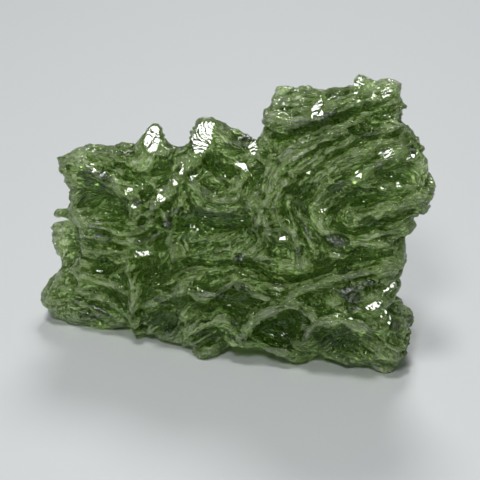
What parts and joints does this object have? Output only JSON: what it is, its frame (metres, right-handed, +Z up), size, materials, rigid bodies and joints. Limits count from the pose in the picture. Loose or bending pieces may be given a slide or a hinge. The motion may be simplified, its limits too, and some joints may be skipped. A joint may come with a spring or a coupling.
{
  "type": "moldavite",
  "caption": "Single etched piece of green natural glass, tall and thin, with sharp ridges, cups and furrows, standing on its long edge.",
  "frame": {"origin": "centre of the bounding box on the ground plane, under the middle of the stone", "axes": "+X along the stone towards its tall end, +Y towards the back face, +Z up; the more deeply sculpted face looks towards -Y"},
  "size_m": [0.0326, 0.009, 0.0231],
  "materials": {
    "moldavite_glass": "etched natural surface, satin in the cups and bright on the crests"
  },
  "bodies": {
    "root": {"moldavite": "moldavite_glass"}
  },
  "joints": []
}
